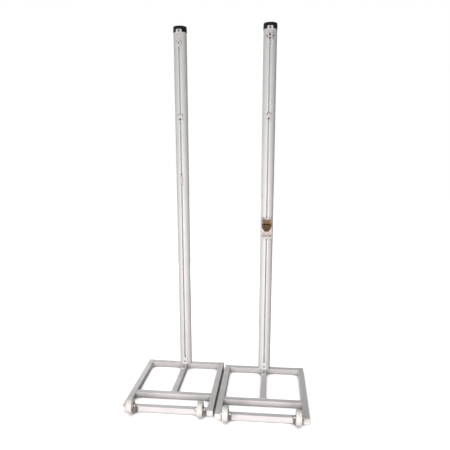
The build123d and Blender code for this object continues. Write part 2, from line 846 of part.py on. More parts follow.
def make_saddle():
    """Channel across the pole's front that carries the tensioner, with its screws and nuts."""
    side = "right"
    with BuildPart() as saddle:
        with BuildSketch(on_pole(side, saddle_back, 0, saddle_z)):
            RectangleRounded(2 * saddle_half, saddle_height, 8)
        extrude(amount=saddle_sheet)
        for x in (-saddle_half, saddle_half - saddle_sheet):
            with BuildSketch(beside_pole(side, x)):
                with Locations((-saddle_front, saddle_z)):
                    Rectangle(
                        saddle_front - flange_rear, saddle_flange_height, align=(Align.MIN, Align.CENTER)
                    )
            extrude(amount=saddle_sheet)
        with BuildSketch(on_pole(side, saddle_front, 0, ledge_z)):
            Rectangle(2 * saddle_half - 2, ledge_height)
        extrude(amount=ledge_reach)
        with BuildSketch(on_pole(side, saddle_front)):
            with BuildLine():
                Polyline(
                    (-pad_bottom_half, pad_bottom), (pad_bottom_half, pad_bottom),
                    (pad_top_half, pad_top), (-pad_top_half, pad_top), close=True,
                )
            make_face()
        extrude(amount=pad_rise)
        with BuildSketch(on_pole(side, saddle_back - 1, 0, groove_z)):
            SlotOverall(2 * saddle_half - 12, groove_height)
        extrude(amount=saddle_sheet + 2, mode=Mode.SUBTRACT)
        for z in saddle_screw_z:
            with BuildSketch(on_pole(side, saddle_back - 1, 0, z)):
                Circle(clamp_radius)
            extrude(amount=saddle_sheet + 2, mode=Mode.SUBTRACT)
        for x in (-pad_hole_x, pad_hole_x):
            with BuildSketch(on_pole(side, saddle_front, x, pad_hole_z)):
                Circle(pad_hole_radius)
            extrude(amount=pad_rise, mode=Mode.SUBTRACT)
    write(saddle, "right_tension_saddle")
    with BuildPart() as screws:
        for z in saddle_screw_z:
            add_socket_screw(side, z, saddle_front, *saddle_screw_head)
    write(screws, "right_saddle_screws")
    with BuildPart() as nuts:
        for z in saddle_screw_z:
            add_slot_nut(side, z)
    write(nuts, "right_saddle_t_nuts")


addendum = gear_module
dedendum = 1.25 * gear_module
wheel_pitch_radius = gear_module * wheel_teeth / 2
gear_outer = wheel_pitch_radius + addendum
gear_root = wheel_pitch_radius - dedendum
worm_outer = worm_pitch_radius + addendum
worm_root = worm_pitch_radius - dedendum
worm_z = drum_z - wheel_pitch_radius - worm_pitch_radius
worm_lead = pi * gear_module
thread_length = thread_turns * worm_lead
thread_back = drum_depth - thread_length / 2
tooth_slope = 0.364
thread_crest = 0.37
gap_root = 0.78
gap_end = gear_outer + 0.5
gap_tip = gap_root + (gap_end - gear_root) * tooth_slope
gear_half = 6
cheek_inner = 25
cheek_outer = 30
housing_front = 98
front_wall = 3.5
cord_slot_z = 1169
cord_slot_height = 8
cord_slot_half = 22
nose_front = 103
worm_front = 99
nose_radius = 13
ear_top = 1200
hood_top = 1194
hood_front = 68
taper_top = 1142
taper_bottom = 1118
worm_bore = worm_outer + 0.65
worm_end = 50.5
journal_radius = 5
shaft_radius = 6
crank_square = 9
drum_radius = 10
drum_flange = 16.5
cavity_bottom = 1140.5
cavity_top = 1178.5
shelf_top = 1182


def make_housing():
    """Cast bronze housing, hollow from behind: cheeks, hood, slot for the cord and a nose for the worm."""
    side = "right"
    with BuildPart() as housing:
        with BuildSketch(on_pole(side, saddle_front)):
            with BuildLine():
                Polyline(
                    (-cheek_outer, ear_top), (-cheek_inner + 1, ear_top), (-cheek_inner + 3, hood_top),
                    (cheek_inner - 3, hood_top), (cheek_inner - 1, ear_top), (cheek_outer, ear_top),
                    (cheek_outer, taper_top), (nose_radius, taper_bottom), (-nose_radius, taper_bottom),
                    (-cheek_outer, taper_top), close=True,
                )
            make_face()
        extrude(amount=housing_front - saddle_front)
        fillet(housing.edges().filter_by(Axis.Y).group_by(Axis.Z)[-1], radius=1.2)
        with BuildSketch(on_pole(side, saddle_front, 0, worm_z)):
            Circle(nose_radius)
        extrude(amount=nose_front - saddle_front)
        with BuildSketch(on_pole(side, saddle_front)):
            with Locations((0, cavity_bottom)):
                Rectangle(2 * cheek_inner, cavity_top - cavity_bottom, align=(Align.CENTER, Align.MIN))
        extrude(amount=housing_front - front_wall - saddle_front, mode=Mode.SUBTRACT)
        with BuildSketch(on_pole(side, housing_front, 0, cord_slot_z)):
            SlotOverall(2 * cord_slot_half, cord_slot_height)
        extrude(amount=-2 * front_wall, mode=Mode.SUBTRACT)
        with BuildSketch(on_pole(side, hood_front)):
            with Locations((0, shelf_top)):
                Rectangle(2 * cheek_inner, ear_top - shelf_top, align=(Align.CENTER, Align.MIN))
        extrude(amount=housing_front, mode=Mode.SUBTRACT)
        with BuildSketch(on_pole(side, thread_back - 2, 0, worm_z)):
            Circle(worm_bore)
        extrude(amount=nose_front, mode=Mode.SUBTRACT)
        with BuildSketch(on_pole(side, worm_end - 1, 0, worm_z)):
            Circle(journal_radius + turning_fit)
        extrude(amount=thread_back - worm_end, mode=Mode.SUBTRACT)
        with BuildSketch(on_pole(side, drum_depth - thread_length / 2, 0, worm_z)):
            Rectangle(2 * gear_half + 2, wheel_pitch_radius, align=(Align.CENTER, Align.MIN))
        extrude(amount=thread_length, mode=Mode.SUBTRACT)
        with BuildSketch(beside_pole(side, -2 * cheek_outer, drum_depth, drum_z)):
            Circle(shaft_radius + turning_fit)
        extrude(amount=4 * cheek_outer, mode=Mode.SUBTRACT)
    write(housing, "right_tensioner_housing")


def make_drum():
    """Cord drum turned with its own shaft, the worm wheel fixed on its middle, and two end rings."""
    side = "right"
    shaft_end = cheek_outer + 4
    ring_x = cheek_outer + 0.5
    ring_width = 1.5
    ring_wall = 3.5
    flange_width = 2.5
    flange_x = cheek_inner - 0.5
    cord_hole_x = 14
    cord_hole_radius = 2.5
    with BuildPart() as drum:
        with BuildSketch(beside_pole(side, -shaft_end, drum_depth, drum_z)):
            Circle(shaft_radius)
        extrude(amount=2 * shaft_end)
        with BuildSketch(beside_pole(side, -flange_x, drum_depth, drum_z)):
            Circle(drum_radius)
        extrude(amount=2 * flange_x)
        for x in (-flange_x, flange_x - flange_width):
            with BuildSketch(beside_pole(side, x, drum_depth, drum_z)):
                Circle(drum_flange)
            extrude(amount=flange_width)
        with BuildSketch(on_pole(side, drum_depth - 2 * drum_radius, cord_hole_x, drum_z)):
            Circle(cord_hole_radius)
        extrude(amount=4 * drum_radius, mode=Mode.SUBTRACT)
    write(drum, "right_cord_drum")

    with BuildPart() as gear:
        with BuildSketch(beside_pole(side, -gear_half, drum_depth, drum_z)):
            Circle(gear_outer)
            Circle(drum_radius, mode=Mode.SUBTRACT)
            with PolarLocations(0, wheel_teeth, start_angle=-90):
                Polygon(
                    (gear_root, -gap_root), (gap_end, -gap_tip), (gap_end, gap_tip), (gear_root, gap_root),
                    align=None, mode=Mode.SUBTRACT,
                )
        extrude(amount=2 * gear_half)
    write(gear, "right_worm_wheel")

    with BuildPart() as rings:
        for x in (-ring_x - ring_width, ring_x):
            with BuildSketch(beside_pole(side, x, drum_depth, drum_z)):
                Circle(shaft_radius + ring_wall)
                Circle(shaft_radius, mode=Mode.SUBTRACT)
            extrude(amount=ring_width)
    write(rings, "right_drum_rings")


def make_worm():
    """Steel worm with a square socket in its front end for a crank handle."""
    side = "right"
    sunk = 0.3
    tall = worm_outer - worm_root
    base = thread_crest + (tall + sunk) * tooth_slope
    neck = 1.5
    journal_back = thread_back + thread_length + neck
    start = on_pole(side, thread_back, 0, worm_z).origin
    with BuildPart() as worm:
        with BuildLine():
            helix = Helix(worm_lead, thread_length, worm_root, center=start, direction=(0, -1, 0))
        with BuildSketch(Plane(origin=helix @ 0, x_dir=(0, 0, -1), z_dir=helix % 0)):
            Polygon(
                (-sunk, -base), (tall, -thread_crest), (tall, thread_crest), (-sunk, base), align=None
            )
        sweep(path=helix, is_frenet=True)
        with BuildSketch(on_pole(side, worm_end, 0, worm_z)):
            Circle(journal_radius)
        extrude(amount=thread_back - 2 * neck - worm_end)
        with BuildSketch(on_pole(side, thread_back - 2 * neck, 0, worm_z)):
            Circle(worm_root)
        extrude(amount=journal_back - thread_back + 2 * neck)
        with BuildSketch(on_pole(side, journal_back, 0, worm_z)):
            Circle(worm_bore - turning_fit)
        extrude(amount=worm_front - journal_back)
        with BuildSketch(on_pole(side, worm_front, 0, worm_z)):
            Rectangle(crank_square, crank_square)
        extrude(amount=-crank_square, mode=Mode.SUBTRACT)
    write(worm, "right_worm_shaft")


# --- Build --------------------------------------------------------------------------------------

for post in ("left", "right"):
    make_base_frame(post)
    make_rail_caps(post)
    make_pole(post)
    make_foot_plug(post)
    make_plug_bolts(post)
    make_foot_bracket(post)
    make_foot_fasteners(post)
    make_top_cap(post)
    make_cord_guide(post)
    make_net_slider(post)
    make_wheel(post, "inner", -outward[post] * wheel_x)
    make_wheel(post, "outer", outward[post] * wheel_x)
    make_wheel_mounts(post)

make_top_hook()
make_rope_cleat()
make_pulley()
make_saddle()
make_housing()
make_drum()
make_worm()
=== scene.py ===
import json
import math

import bmesh
import bpy
from mathutils import Matrix, Vector


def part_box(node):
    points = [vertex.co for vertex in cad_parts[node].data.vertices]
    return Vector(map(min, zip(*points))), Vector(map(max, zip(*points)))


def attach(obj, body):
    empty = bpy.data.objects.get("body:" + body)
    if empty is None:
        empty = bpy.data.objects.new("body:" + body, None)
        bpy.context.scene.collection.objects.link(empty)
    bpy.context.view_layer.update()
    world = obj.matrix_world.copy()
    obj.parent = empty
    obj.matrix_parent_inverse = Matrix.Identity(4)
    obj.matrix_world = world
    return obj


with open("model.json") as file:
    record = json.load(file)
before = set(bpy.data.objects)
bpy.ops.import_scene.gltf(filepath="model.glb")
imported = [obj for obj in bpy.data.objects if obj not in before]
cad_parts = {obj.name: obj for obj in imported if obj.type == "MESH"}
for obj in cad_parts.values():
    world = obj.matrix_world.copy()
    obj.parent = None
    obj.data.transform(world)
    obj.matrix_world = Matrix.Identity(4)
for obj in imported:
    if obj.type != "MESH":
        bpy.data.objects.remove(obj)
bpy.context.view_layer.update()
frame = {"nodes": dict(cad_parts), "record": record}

# A pair of volleyball posts on wheeled frames, in metres, in the row's own frame: +Z is up, -Y is
# the front and +X runs from the left post to the right one.

SIDES = ("left", "right")

# Camera, at the viewing angle of a person standing in front and a little to the right
CAMERA_PLACE = (0.3414, -2.9438, 1.6580)
CAMERA_YAW = -0.0950
CAMERA_PITCH = 0.2084
CAMERA_ROLL = 0.0013
CAMERA_LENS_MM = 36.67
CAMERA_SHIFT = (-0.0068, 0.0561)
SENSOR_WIDTH_MM = 36.0

# Sizes of the steel frame, which the welds follow
TUBE = 0.040
TUBE_CORNER = 0.004
MID_BAR_Y = 0.498
CAP_FLANGE = 0.003

# The weld beads: their size and ripples, how far they stand off a rail, and the height they start at
BEAD_RADIUS = 0.0024
BEAD_RIPPLE = 0.0023
BEAD_STEP = 0.0006
BEAD_SIDES = 10
BEAD_PROUD = 0.0004
BEAD_FOOT = 0.003

# Sizes of the axle bolts and the wheels, which the threads and the ribs follow
AXLE_RADIUS = 0.006
AXLE_NUT = 0.010
THREAD_END = 0.008
THREAD_PITCH = 0.00175
THREAD_RISE = 0.0005
THREAD_SINK = 0.0002
THREAD_FLANK = 0.42
THREAD_START = 0.3
THREAD_STEPS = 24
THREAD_FADE_STEPS = 6
WEB_HALF = 0.005
RIB_FACE = 0.0145
RIB_INNER = 0.0155
RIB_OUTER = 0.0375
RIB_COUNT = 8

# A rib's section, as (distance from the wheel's middle plane, half thickness): it starts inside the
# web and draws in at its edge
RIB_SECTION = ((WEB_HALF - 0.0004, 0.0019), (RIB_FACE - 0.0008, 0.0013), (RIB_FACE, 0.0006))

# Where the tensioner's hood begins above its cord slot
HOOD_BOTTOM = 1.180

# How far the face of the saddle's raised pad lies behind the front of its ledge
PAD_BEHIND_LEDGE = 0.0035

FLOOR_SIZE = 30.0


# --- Node helpers -------------------------------------------------------------------------------

def start_material(name):
    """A node material with a principled shader, as (material, tree, shader)."""
    material = bpy.data.materials.new(name)
    material.use_nodes = True
    tree = material.node_tree
    return material, tree, tree.nodes["Principled BSDF"]


def add(tree, kind, inputs=None, **settings):
    """Adds a node. Each input is a plain value or another node's output socket."""
    made = tree.nodes.new("ShaderNode" + kind)
    for key, value in settings.items():
        setattr(made, key, value)
    for key, value in (inputs or {}).items():
        if isinstance(value, bpy.types.NodeSocket):
            tree.links.new(value, made.inputs[key])
        else:
            made.inputs[key].default_value = value
    return made


def place(tree, scale=(1, 1, 1)):
    """Texture coordinates fixed to the piece, in metres, stretched by scale."""
    coords = add(tree, "TexCoord")
    return add(tree, "Mapping", {"Vector": coords.outputs["Object"], "Scale": scale}).outputs[0]


def where(tree, axis):
    """How far along an axis of the row a point of the piece lies, in metres, at rest."""
    return add(tree, "SeparateXYZ", {0: place(tree)}).outputs[axis]


def noise(tree, scale, stretch=(1, 1, 1), detail=4.0, rough=0.55, warp=0.0):
    """Cloudy noise with about this many features to the metre, as a socket from 0 to 1."""
    made = add(tree, "TexNoise", {"Vector": place(tree, stretch), "Scale": scale, "Detail": detail,
                                  "Roughness": rough, "Distortion": warp})
    return made.outputs[0]


def span(tree, value, low, high, to_low=0.0, to_high=1.0, smooth=True):
    """Maps value from low..high to to_low..to_high, and clamps it."""
    made = add(tree, "MapRange", {"Value": value, "From Min": low, "From Max": high,
                                  "To Min": to_low, "To Max": to_high})
    made.interpolation_type = "SMOOTHSTEP" if smooth else "LINEAR"
    return made.outputs[0]


def maths(tree, operation, a, b=0.0):
    """The result of an operation of the maths node."""
    return add(tree, "Math", {0: a, 1: b}, operation=operation).outputs[0]


def times(tree, a, b):
    """a times b."""
    return maths(tree, "MULTIPLY", a, b)


def blend_colours(tree, share, a, b):
    """Colour a, turning into colour b as share goes from 0 to 1."""
    made = add(tree, "Mix", {0: share}, data_type="RGBA")
    for socket, value in ((made.inputs[6], a), (made.inputs[7], b)):
        if isinstance(value, bpy.types.NodeSocket):
            tree.links.new(value, socket)
        else:
            socket.default_value = (*value, 1.0)
    return made.outputs[2]


def soft_edges(tree, radius):
    """A normal that rounds sharp edges off, and a mask that is 1 on those edges."""
    rounded = add(tree, "Bevel", {"Radius": radius}, samples=4)
    flat = add(tree, "NewGeometry")
    facing = add(tree, "VectorMath", {0: rounded.outputs[0], 1: flat.outputs["Normal"]},
                 operation="DOT_PRODUCT")
    return rounded.outputs[0], span(tree, facing.outputs["Value"], 0.995, 0.86)


def occlusion_shade(tree, distance):
    """A mask of painted shade from ambient occlusion: 1 deep in corners and 0 out in the open."""
    hidden = add(tree, "AmbientOcclusion", {"Distance": distance}, samples=4)
    return span(tree, hidden.outputs["AO"], 0.85, 0.25)


def relief(tree, height, depth, normal):
    """Bump of this depth in metres, over a normal."""
    return add(tree, "Bump", {"Height": height, "Distance": depth, "Normal": normal}).outputs[0]


def wire(tree, shader, **values):
    """Feeds the shader's inputs, given with underscores for spaces."""
    for key, value in values.items():
        socket = shader.inputs[key.replace("_", " ")]
        if isinstance(value, bpy.types.NodeSocket):
            tree.links.new(value, socket)
        elif isinstance(value, tuple):
            socket.default_value = (*value, 1.0)
        else:
            socket.default_value = value


def repaint(material, mask, strength, paint):
    """Paints over a finished material where the mask is 1."""
    tree = material.node_tree
    shader = tree.nodes["Principled BSDF"]
    under = shader.inputs["Base Color"].links[0].from_socket
    wire(tree, shader, Base_Color=blend_colours(tree, times(tree, mask, strength), under, paint))


# --- Materials ----------------------------------------------------------------------------------

def frame_paint():
    """Grey-white powder coat on steel tube: fine orange peel, scuffs, worn edges, and painted shade
    in corners, most of it on the faces that look sideways."""
    material, tree, shader = start_material("frame_paint")
    rounded, edge = soft_edges(tree, 0.0012)
    cloud = noise(tree, 9, detail=5)
    scuffs = span(tree, noise(tree, 60, (1, 0.12, 1), detail=8, rough=0.7, warp=0.6), 0.60, 0.72)
    chips = times(tree, edge, span(tree, noise(tree, 160, detail=6), 0.56, 0.66))
    colour = blend_colours(tree, span(tree, cloud, 0.35, 0.7),
                           (0.72, 0.704, 0.70), (0.67, 0.653, 0.647))
    colour = blend_colours(tree, times(tree, scuffs, 0.30), colour, (0.52, 0.50, 0.48))
    facing = add(tree, "SeparateXYZ", {0: add(tree, "NewGeometry").outputs["Normal"]}).outputs["X"]
    sides = span(tree, maths(tree, "ABSOLUTE", facing), 0.2, 0.8, 0.3, 0.95)
    # Painted shade: dark where ambient occlusion is deep, most of all on the faces that look
    # sideways.
    painted_shade = times(tree, occlusion_shade(tree, 0.026), sides)
    colour = blend_colours(tree, painted_shade, colour, (0.13, 0.115, 0.105))
    colour = blend_colours(tree, times(tree, chips, 0.7), colour, (0.42, 0.39, 0.37))
    peel = noise(tree, 620, detail=2)
    wire(tree, shader, Base_Color=colour, Roughness=span(tree, cloud, 0.3, 0.7, 0.36, 0.52),
         Normal=relief(tree, peel, 0.00005, rounded))
    return material


def pole_metal():
    """Silver-anodised extrusion: lines drawn lengthwise, faint smears, nicks, painted shade in the
    slot, a painted highlight on its edges, and a painted shade, greyer and greener, towards the top."""
    material, tree, shader = start_material("pole_metal")
    rounded, edge = soft_edges(tree, 0.0006)
    lines = noise(tree, 900, (1, 1, 0.002), detail=3, rough=0.8)
    wide_lines = noise(tree, 130, (1, 1, 0.003), detail=3)
    smears = noise(tree, 7, (1, 1, 0.6), detail=7, rough=0.6, warp=0.5)
    nicks = span(tree, noise(tree, 210, (1, 1, 0.35), detail=8, rough=0.75), 0.69, 0.74)
    colour = blend_colours(tree, wide_lines, (0.76, 0.765, 0.75), (0.83, 0.83, 0.815))
    smeared = times(tree, span(tree, smears, 0.5, 0.7), 0.2)
    colour = blend_colours(tree, smeared, colour, (0.60, 0.59, 0.575))
    colour = blend_colours(tree, times(tree, nicks, 0.35), colour, (0.45, 0.44, 0.43))
    # Painted highlight along the edges.
    colour = blend_colours(tree, times(tree, edge, 0.5), colour, (0.93, 0.93, 0.92))
    # Painted shade in the slot and other recesses.
    painted_shade = times(tree, occlusion_shade(tree, 0.02), 0.9)
    colour = blend_colours(tree, painted_shade, colour, (0.10, 0.09, 0.10))
    # Painted shade, greyer and greener, rising towards the top of the pole.
    painted_top_shade = span(tree, where(tree, "Z"), 1.2, 2.2, 0, 0.5)
    colour = blend_colours(tree, painted_top_shade, colour, (0.68, 0.735, 0.705))
    drawn = span(tree, lines, 0.3, 0.7, -0.03, 0.03)
    rough = maths(tree, "ADD", span(tree, smears, 0.3, 0.7, 0.58, 0.68), drawn)
    wire(tree, shader, Base_Color=colour, Metallic=0.15, Roughness=rough,
         Normal=relief(tree, lines, 0.00002, rounded))
    return material


def black_plastic():
    """Moulded black plastic with a fine grain, pale rub marks and dust."""
    material, tree, shader = start_material("black_plastic")
    rounded, edge = soft_edges(tree, 0.0010)
    dust = span(tree, noise(tree, 28, detail=7, rough=0.65), 0.5, 0.75)
    rubs = times(tree, edge, span(tree, noise(tree, 130, detail=6), 0.45, 0.65))
    colour = blend_colours(tree, times(tree, dust, 0.2),
                           (0.010, 0.010, 0.011), (0.062, 0.060, 0.057))
    colour = blend_colours(tree, times(tree, rubs, 0.4), colour, (0.09, 0.09, 0.09))
    wire(tree, shader, Base_Color=colour, Roughness=span(tree, dust, 0, 1, 0.40, 0.60),
         Specular_IOR_Level=0.25, Normal=relief(tree, noise(tree, 1500, detail=2), 0.00003, rounded))
    return material


def moulded(name, light, dark, rough, scuff_colour):
    """Pale moulded plastic that has been knocked about: a soft grain, scuffs, worn edges and painted
    shade in corners.
    """
    material, tree, shader = start_material(name)
    rounded, edge = soft_edges(tree, 0.0015)
    cloud = noise(tree, 22, detail=6)
    scuffs = span(tree, noise(tree, 95, (1, 0.3, 1), detail=9, rough=0.72, warp=0.8), 0.57, 0.70)
    worn = times(tree, edge, span(tree, noise(tree, 70, detail=5), 0.4, 0.62))
    colour = blend_colours(tree, span(tree, cloud, 0.35, 0.7), light, dark)
    colour = blend_colours(tree, times(tree, scuffs, 0.35), colour, scuff_colour)
    colour = blend_colours(tree, times(tree, worn, 0.30), colour, scuff_colour)
    # Painted shade in corners, from ambient occlusion.
    painted_shade = times(tree, occlusion_shade(tree, 0.012), 0.55)
    colour = blend_colours(tree, painted_shade, colour, (0.30, 0.27, 0.23))
    wire(tree, shader, Base_Color=colour, Roughness=rough, Subsurface_Weight=0.06,
         Subsurface_Scale=0.004, Normal=relief(tree, noise(tree, 800, detail=3), 0.00004, rounded))
    return material


def white_plastic():
    """White plugs and the small sheave."""
    return moulded("white_plastic", light=(0.80, 0.795, 0.78), dark=(0.73, 0.72, 0.70), rough=0.42,
                   scuff_colour=(0.48, 0.46, 0.43))


def wheel_nylon():
    """Cream nylon wheels with grey marks from the floor."""
    return moulded("wheel_nylon", light=(0.70, 0.685, 0.65), dark=(0.64, 0.615, 0.57), rough=0.46,
                   scuff_colour=(0.40, 0.37, 0.33))


def zinc_steel():
    """Zinc-plated steel: a faint cloudy spangle, fine turning marks, a dull bloom in places, painted
    shade in corners and a painted highlight on edges.
    """
    material, tree, shader = start_material("zinc_steel")
    rounded, edge = soft_edges(tree, 0.0006)
    cells = add(tree, "TexVoronoi", {"Vector": place(tree), "Scale": 420.0})
    spangle = span(tree, cells.outputs["Color"], 0, 1, smooth=False)
    bloom = span(tree, noise(tree, 70, detail=7, rough=0.65), 0.5, 0.72)
    colour = blend_colours(tree, spangle, (0.30, 0.29, 0.28), (0.39, 0.38, 0.365))
    colour = blend_colours(tree, times(tree, bloom, 0.5), colour, (0.27, 0.26, 0.245))
    # Painted shade in corners.
    painted_shade = times(tree, occlusion_shade(tree, 0.006), 0.8)
    colour = blend_colours(tree, painted_shade, colour, (0.06, 0.055, 0.05))
    # Painted highlight along the edges.
    colour = blend_colours(tree, times(tree, edge, 0.35), colour, (0.60, 0.59, 0.58))
    wire(tree, shader, Base_Color=colour, Metallic=0.75,
         Roughness=span(tree, bloom, 0, 1, 0.42, 0.60),
         Normal=relief(tree, noise(tree, 1600, detail=3), 0.00002, rounded))
    return material


def painted(name, light, dark, bare, grain, depth, rough, shade_strength=0.6):
    """Powder coat over cast or folded metal, worn through on its edges, with painted shade in its
    corners as strong as shade_strength.
    """
    material, tree, shader = start_material(name)
    rounded, edge = soft_edges(tree, 0.0009)
    cloud = noise(tree, 34, detail=6)
    worn = times(tree, edge, span(tree, noise(tree, 190, detail=6), 0.47, 0.62))
    colour = blend_colours(tree, span(tree, cloud, 0.35, 0.7), light, dark)
    # Painted shade in corners.
    painted_shade = times(tree, occlusion_shade(tree, 0.009), shade_strength)
    colour = blend_colours(tree, painted_shade, colour, (0.16, 0.14, 0.12))
    colour = blend_colours(tree, times(tree, worn, 0.6), colour, bare)
    skin = noise(tree, grain, detail=3)
    wire(tree, shader, Base_Color=colour, Roughness=span(tree, cloud, 0.3, 0.7, rough, rough + 0.14),
         Metallic=times(tree, worn, 0.7), Normal=relief(tree, skin, depth, rounded))
    return material


def white_cast():
    """The pale castings: the foot brackets, the cord guides and the small fittings in the slots."""
    return painted("white_cast", light=(0.80, 0.79, 0.78), dark=(0.74, 0.73, 0.715),
                   bare=(0.50, 0.49, 0.47), grain=900, depth=0.00008, rough=0.42)


def white_sheet():
    """The sheet-steel saddle of the tensioner: off-white, with its raised pad and ledge cream."""
    # Its painted shade is strong, which darkens the corner under the ledge.
    material = painted("white_sheet", light=(0.63, 0.58, 0.565), dark=(0.58, 0.53, 0.51),
                       bare=(0.40, 0.34, 0.30), grain=700, depth=0.00004, rough=0.48, shade_strength=0.9)
    tree = material.node_tree
    pad_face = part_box("right_tension_saddle")[0].y + PAD_BEHIND_LEDGE
    raised = span(tree, where(tree, "Y"), pad_face + 0.0006, pad_face, smooth=False)
    repaint(material, raised, 0.85, (0.64, 0.52, 0.44))
    return material


def bronze():
    """The tensioner's cast bronze, with a brown patina: pitted, with painted shade in its recesses,
    and a painted highlight, tan, on its hood and edges."""
    material, tree, shader = start_material("bronze")
    rounded, edge = soft_edges(tree, 0.0014)
    cloud = noise(tree, 75, detail=8, rough=0.65)
    pits = span(tree, noise(tree, 430, detail=5, rough=0.7), 0.58, 0.70)
    colour = blend_colours(tree, span(tree, cloud, 0.35, 0.68),
                           (0.120, 0.064, 0.022), (0.080, 0.040, 0.013))
    colour = blend_colours(tree, times(tree, pits, 0.5), colour, (0.070, 0.040, 0.018))
    # Painted shade in its recesses.
    painted_shade = times(tree, occlusion_shade(tree, 0.014), 0.8)
    colour = blend_colours(tree, painted_shade, colour, (0.045, 0.026, 0.011))
    # Painted light: the hood is made tan above its cord slot.
    hood = span(tree, where(tree, "Z"), HOOD_BOTTOM - 0.004, HOOD_BOTTOM + 0.002)
    painted_hood_light = times(tree, hood, span(tree, cloud, 0.3, 0.5, 0.5, 0.9))
    colour = blend_colours(tree, painted_hood_light, colour, (0.42, 0.30, 0.19))
    # Painted highlight, tan, along the edges.
    colour = blend_colours(tree, times(tree, edge, 0.75), colour, (0.36, 0.25, 0.14))
    height = maths(tree, "ADD", noise(tree, 260, detail=6), times(tree, pits, -0.6))
    wire(tree, shader, Base_Color=colour, Metallic=0.15, Specular_IOR_Level=0.18,
         Roughness=span(tree, cloud, 0.3, 0.7, 0.50, 0.68),
         Normal=relief(tree, height, 0.00022, rounded))
    return material


def machined(name, light, dark, metallic, rough, shine=0.5):
    """Turned metal: fine rings, a film of oil, painted shade in corners and a painted highlight on
    edges.
    """
    material, tree, shader = start_material(name)
    rounded, edge = soft_edges(tree, 0.0004)
    film = noise(tree, 90, detail=6)
    turning = noise(tree, 2400, (1, 0.05, 1), detail=2)
    colour = blend_colours(tree, span(tree, film, 0.35, 0.68), light, dark)
    # Painted shade in corners.
    painted_shade = times(tree, occlusion_shade(tree, 0.012), 0.85)
    colour = blend_colours(tree, painted_shade, colour, (0.02, 0.016, 0.012))
    # Painted highlight along the edges.
    edge_highlight = tuple(min(1, 1.5 * c) for c in light)
    colour = blend_colours(tree, times(tree, edge, 0.4), colour, edge_highlight)
    wire(tree, shader, Base_Color=colour, Metallic=metallic, Specular_IOR_Level=shine,
         Roughness=span(tree, film, 0.3, 0.7, *rough), Normal=relief(tree, turning, 0.00002, rounded))
    return material


def gear_bronze():
    """The worm wheel's cut bronze."""
    return machined("gear_bronze", light=(0.62, 0.42, 0.20), dark=(0.46, 0.29, 0.13), metallic=0.9,
                    rough=(0.28, 0.42))


def dark_steel():
    """Blackened steel of the guide screws, the knobs and the sheave's pin. On the worm and the
    drum's rings, which lie in the tensioner, it has a dark brown painted shade."""
    material = machined("dark_steel", light=(0.25, 0.242, 0.236), dark=(0.17, 0.163, 0.158),
                        metallic=0.12, rough=(0.48, 0.62), shine=0.2)
    tree = material.node_tree
    # Painted shade, dark brown, below the tensioner's hood.
    shade_below_hood = span(tree, where(tree, "Z"), HOOD_BOTTOM + 0.02, HOOD_BOTTOM + 0.01, smooth=False)
    repaint(material, shade_below_hood, 0.85, (0.060, 0.032, 0.013))
    return material


def plug_alloy():
    """Sand-cast aluminium of the foot plugs."""
    material, tree, shader = start_material("plug_alloy")
    rounded, edge = soft_edges(tree, 0.0008)
    grain = noise(tree, 520, detail=5, rough=0.7)
    colour = blend_colours(tree, grain, (0.46, 0.455, 0.45), (0.62, 0.62, 0.61))
    # Painted highlight along the edges.
    colour = blend_colours(tree, times(tree, edge, 0.4), colour, (0.78, 0.78, 0.77))
    wire(tree, shader, Base_Color=colour, Metallic=0.8, Roughness=0.58,
         Normal=relief(tree, grain, 0.00018, rounded))
    return material


MAKERS = (frame_paint, pole_metal, black_plastic, white_plastic, wheel_nylon, zinc_steel,
          white_cast, white_sheet, bronze, gear_bronze, dark_steel, plug_alloy)


def dress_nodes():
    """Gives every node of the frame the material of its slot in the record."""
    for subpart in frame["record"]["subparts"]:
        node = frame["nodes"][subpart["node"]]
        material = materials[subpart["material_slot"]]
        if not node.material_slots:
            node.data.materials.append(material)
        for held in node.material_slots:
            held.material = material


# --- New pieces ---------------------------------------------------------------------------------

def finish_piece(name, bm, body, slot, smooth=True):
    """Turns a bmesh into a piece that rides on a body."""
    bmesh.ops.recalc_face_normals(bm, faces=bm.faces)
    mesh = bpy.data.meshes.new(name)
    bm.to_mesh(mesh)
    bm.free()
    for polygon in mesh.polygons:
        polygon.use_smooth = smooth
    piece = bpy.data.objects.new(name, mesh)
    bpy.context.scene.collection.objects.link(piece)
    piece.data.materials.append(materials[slot])
    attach(piece, body)


def skin(bm, rings):
    """Closes a row of rings of vertices into a solid, with a cap at each end."""
    for near, far in zip(rings, rings[1:]):
        for k in range(len(near)):
            n = (k + 1) % len(near)
            bm.faces.new((near[k], near[n], far[n], far[k]))
    bm.faces.new(rings[0])
    bm.faces.new(reversed(rings[-1]))


def add_bead(bm, path, normal):
    """A weld bead along a flat path: overlapping ripples, tapering off at both ends."""
    points = []
    for start, end in zip(path, path[1:]):
        count = max(1, round((end - start).length / BEAD_STEP))
        points += [start.lerp(end, i / count) for i in range(count)]
    points.append(path[-1])
    rings = []
    for i, point in enumerate(points):
        along = (points[min(i + 1, len(points) - 1)] - points[max(i - 1, 0)]).normalized()
        side = along.cross(normal).normalized()
        travelled = i * BEAD_STEP
        ripple = 0.86 + 0.16 * math.sqrt(travelled / BEAD_RIPPLE % 1.0)
        from_end = min(travelled, (len(points) - 1 - i) * BEAD_STEP)
        size = BEAD_RADIUS * ripple * min(1.0, 0.35 + from_end / (2 * BEAD_RADIUS))
        ring = []
        for k in range(BEAD_SIDES):
            turn = 2 * math.pi * k / BEAD_SIDES
            outward = math.cos(turn) * side + math.sin(turn) * normal
            ring.append(bm.verts.new(point + size * outward))
        rings.append(ring)
    skin(bm, rings)


